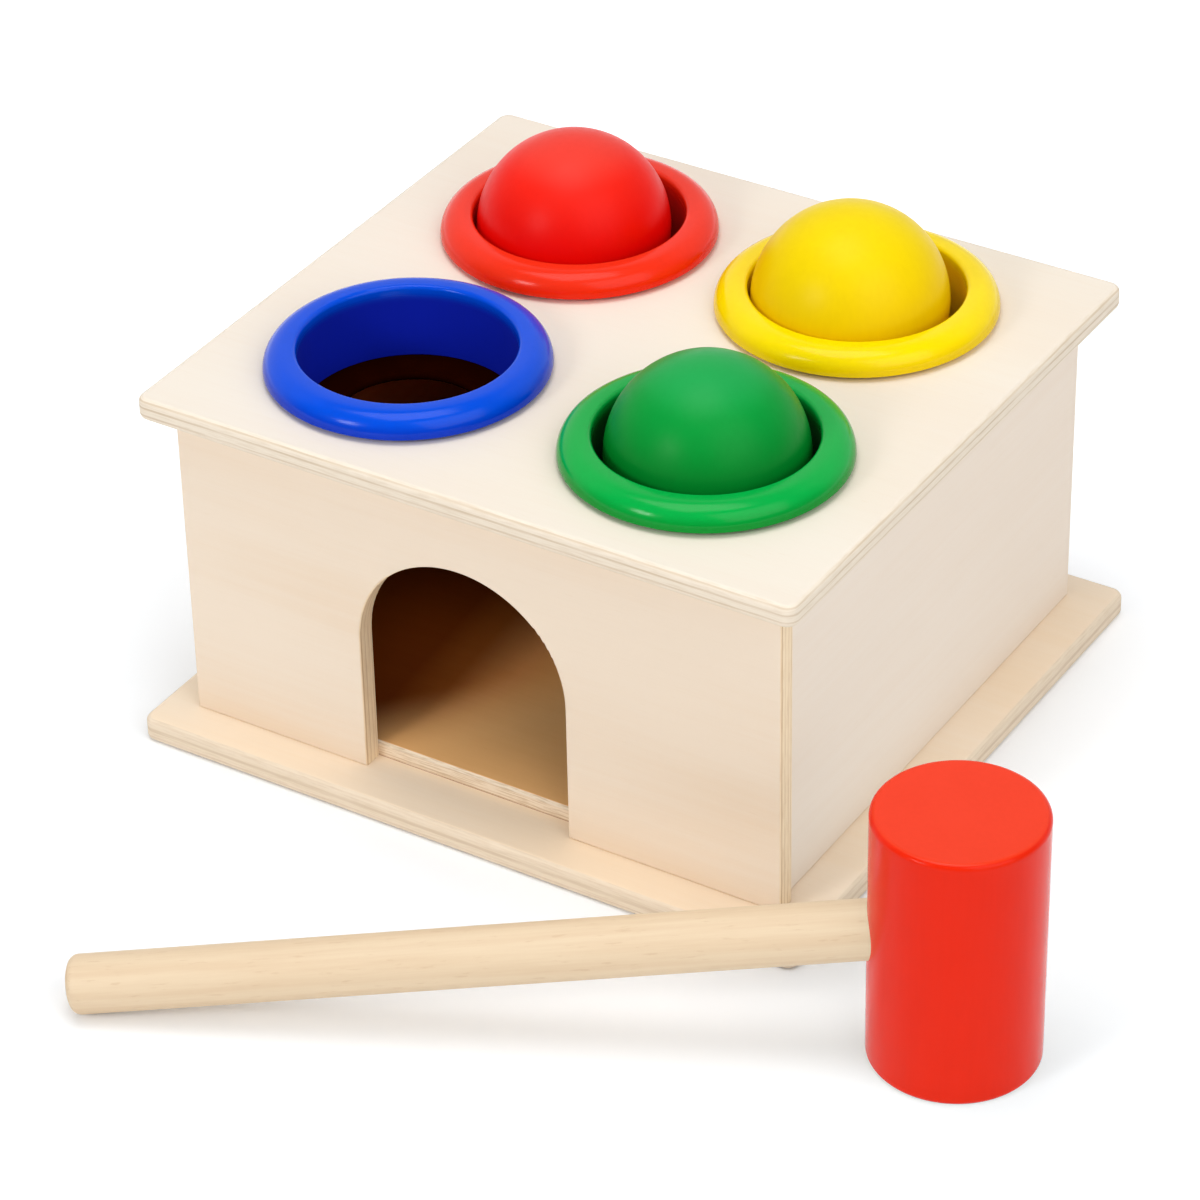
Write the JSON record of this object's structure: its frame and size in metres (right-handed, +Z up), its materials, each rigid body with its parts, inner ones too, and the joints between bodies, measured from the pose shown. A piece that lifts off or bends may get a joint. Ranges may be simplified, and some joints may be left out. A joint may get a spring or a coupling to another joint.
{
  "type": "ball pounding toy",
  "caption": "Plywood pounding box with painted balls held in rings by elastic lips, a sloped floor that rolls them out of an arched doorway, and a wooden hammer.",
  "frame": {"origin": "middle of the base plate's underside", "axes": "+X to the right along the front, +Y from the doorway to the back, +Z up"},
  "size_m": [0.2313, 0.2978, 0.1158],
  "materials": {
    "birch_ply": "sanded birch plywood, matt",
    "dowel": "sanded birch dowel, matt",
    "red_paint": "red satin paint on turned wood",
    "yellow_paint": "yellow satin paint on turned wood",
    "green_paint": "green satin paint on turned wood",
    "blue_paint": "blue satin paint on turned wood",
    "head_paint": "red satin paint on turned wood",
    "lip_rubber": "dark brown elastic, matt"
  },
  "bodies": {
    "box": {"base_plate": "birch_ply", "front_panel": "birch_ply", "back_panel": "birch_ply", "left_panel": "birch_ply", "right_panel": "birch_ply", "top_plate": "birch_ply", "ramp": "birch_ply", "ramp_cleat": "birch_ply", "red_ring": "red_paint", "yellow_ring": "yellow_paint", "green_ring": "green_paint", "blue_ring": "blue_paint", "red_lip": "lip_rubber", "yellow_lip": "lip_rubber", "green_lip": "lip_rubber", "blue_lip": "lip_rubber"},
    "red_ball": {"red_ball": "red_paint"},
    "yellow_ball": {"yellow_ball": "yellow_paint"},
    "green_ball": {"green_ball": "green_paint"},
    "blue_ball": {"blue_ball": "blue_paint"},
    "hammer": {"hammer_head": "head_paint", "hammer_handle": "dowel"}
  },
  "joints": [
    {"name": "red_ball_drop", "type": "slide", "parent": "box", "child": "red_ball", "axis": [0, 0, 1], "range_m": [-0.0475, 0.05], "deforming": ["red_lip"]},
    {"name": "yellow_ball_drop", "type": "slide", "parent": "box", "child": "yellow_ball", "axis": [0, 0, 1], "range_m": [-0.0475, 0.05], "deforming": ["yellow_lip"]},
    {"name": "green_ball_drop", "type": "slide", "parent": "box", "child": "green_ball", "axis": [0, 0, 1], "range_m": [-0.0548, 0.05], "deforming": ["green_lip"]},
    {"name": "blue_ball_lift", "type": "slide", "parent": "box", "child": "blue_ball", "axis": [0, 0, 1], "range_m": [0, 0.12]},
    {"name": "hammer_lift", "type": "slide", "parent": "box", "child": "hammer", "axis": [0, 0, 1], "range_m": [0, 0.2]}
  ]
}
